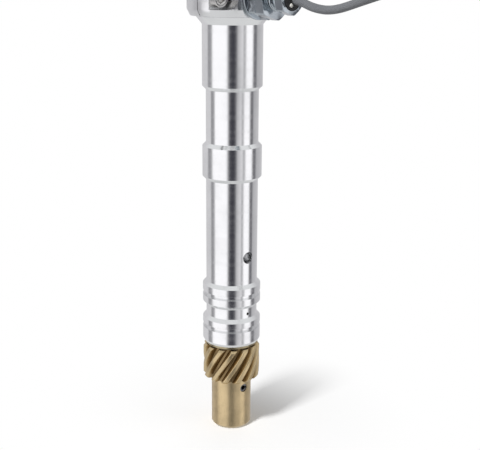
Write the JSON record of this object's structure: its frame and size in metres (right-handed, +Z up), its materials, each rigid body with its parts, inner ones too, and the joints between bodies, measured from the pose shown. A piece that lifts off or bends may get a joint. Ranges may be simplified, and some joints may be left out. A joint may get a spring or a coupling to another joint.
{
  "type": "ignition distributor",
  "caption": "Engine ignition distributor: billet shank with block lands, bronze helical drive gear, clamped bowl with cable gland and lead, rotor, trigger wheel and cap.",
  "frame": {"origin": "centre of the shaft's foot, where the oil pump's drive enters, in the plane of the gear hub's foot", "axes": "+Z up the shaft's axis from the gear to the cap, +X the way the cable gland points"},
  "size_m": [0.1431, 0.1548, 0.342],
  "materials": {
    "billet": "bright turned",
    "bronze": "satin machined bronze",
    "bush_bronze": "sintered bronze",
    "steel": "ground steel",
    "bearing_steel": "polished bearing steel",
    "pin_steel": "dark spring steel",
    "stainless": "bright stainless",
    "zinc": "bright zinc plate",
    "seal_rubber": "matt rubber",
    "gasket_rubber": "matt rubber",
    "white_plastic": "moulded",
    "black_plastic": "moulded, semi-gloss",
    "rotor_plastic": "moulded",
    "potting": "potted resin",
    "terminal_brass": "bright",
    "carbon": "carbon",
    "cable_grey": "grey cable sheath",
    "tie_nylon": "nylon",
    "plug_plastic": "moulded"
  },
  "bodies": {
    "housing": {"shank_housing": "billet", "lower_bush": "bush_bronze", "shaft_seal": "seal_rubber", "bearing_outer_race": "bearing_steel", "bearing_circlip": "pin_steel"},
    "shaft": {"shaft": "steel", "drive_gear": "bronze", "roll_pin": "pin_steel", "thrust_shim": "steel", "thrust_washer": "bush_bronze", "bearing_inner_race": "bearing_steel", "trigger_wheel": "steel", "trigger_screw": "pin_steel", "rotor": "rotor_plastic", "rotor_blade": "terminal_brass"},
    "bearing_cage": {"bearing_cage": "steel", "bearing_balls": "bearing_steel"},
    "bowl": {"bowl": "billet", "clamp_screw": "stainless", "gland_washer": "zinc", "gland_lock_nut": "zinc", "gland_body": "zinc", "gland_clamp_nut": "zinc", "gland_seal": "seal_rubber", "blanking_pin": "white_plastic", "sensor_plate": "billet", "hall_sensor": "potting", "ignition_module": "potting", "plate_screws": "stainless", "bowl_gasket": "gasket_rubber", "lead_tube": "cable_grey", "lead_tail": "cable_grey", "lead_coil": "cable_grey", "cable_ties": "tie_nylon", "plug_seal": "seal_rubber", "lead_plug": "plug_plastic", "plug_contacts": "terminal_brass"},
    "cap": {"cap": "black_plastic", "cap_terminals": "terminal_brass", "coil_terminal": "terminal_brass", "cap_screws": "stainless", "brush_spring": "pin_steel"},
    "brush": {"carbon_brush": "carbon"}
  },
  "joints": [
    {"name": "shaft_spin", "type": "hinge", "parent": "housing", "child": "shaft", "pos_m": [0, 0, 0.2], "axis": [0, 0, 1], "continuous": true},
    {"name": "cage_orbit", "type": "hinge", "parent": "housing", "child": "bearing_cage", "pos_m": [0, 0, 0.2635], "axis": [0, 0, 1], "continuous": true},
    {"name": "timing_turn", "type": "hinge", "parent": "housing", "child": "bowl", "pos_m": [0, 0, 0.25], "axis": [0, 0, 1], "range_deg": [-20, 20]},
    {"name": "cap_lift", "type": "slide", "parent": "bowl", "child": "cap", "axis": [0, 0, 1], "range_m": [0, 0.045]},
    {"name": "brush_travel", "type": "slide", "parent": "cap", "child": "brush", "axis": [0, 0, 1], "range_m": [0, 0.003], "stiffness_N_per_m": 200, "springref_m": -0.003, "deforming": ["brush_spring"]}
  ],
  "couplings": [
    {"joint": "cage_orbit", "follows": "shaft_spin", "ratio": 0.43}
  ]
}
